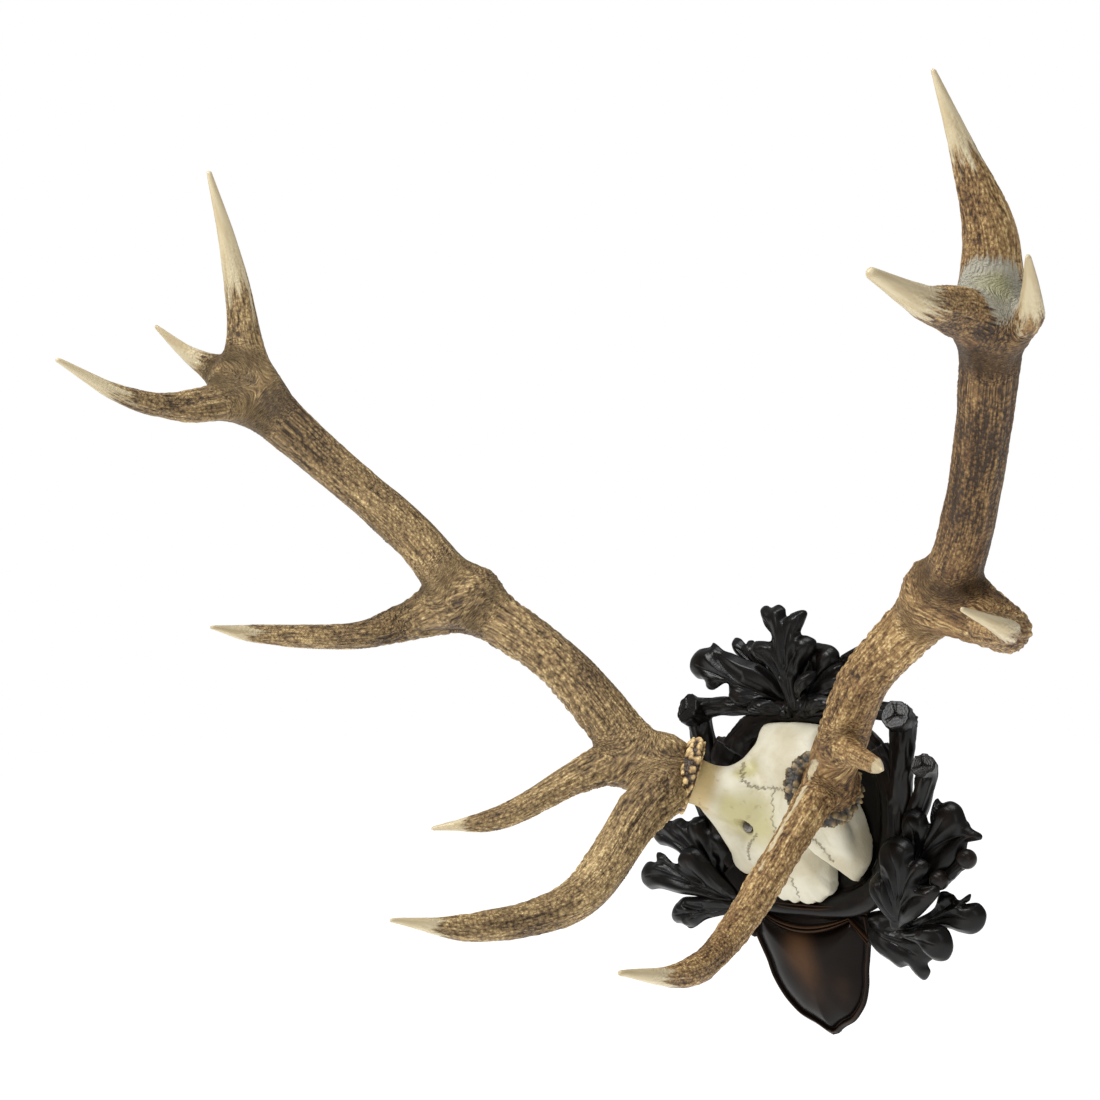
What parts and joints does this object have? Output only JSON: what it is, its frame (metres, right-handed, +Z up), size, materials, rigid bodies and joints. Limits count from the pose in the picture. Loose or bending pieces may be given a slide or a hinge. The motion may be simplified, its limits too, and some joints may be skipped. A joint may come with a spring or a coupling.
{
  "type": "antler trophy on a carved wall plaque",
  "caption": "Red deer antlers on a cut skull cap, screwed to a black-stained carved oak-leaf plaque with a hanging acorn.",
  "frame": {"origin": "on the wall, at the middle of the plaque's flat back, on the mirror plane of the skull", "axes": "+Z up, -Y out of the wall towards the room, +Y into the wall, +X to the viewer's right"},
  "size_m": [0.9912, 0.5543, 0.8388],
  "materials": {
    "antler_and_bone": "natural antler, brown and pearled with polished ivory tips, on cream-white boiled skull bone",
    "ebonised_oak": "carved oak, stained black and waxed to a satin sheen",
    "screw_steel": "dark plain steel round-head screws"
  },
  "bodies": {
    "root": {"antlers_and_skull_cap": "antler_and_bone", "carved_plaque": "ebonised_oak", "skull_screw_left": "screw_steel", "skull_screw_right": "screw_steel"}
  },
  "joints": []
}
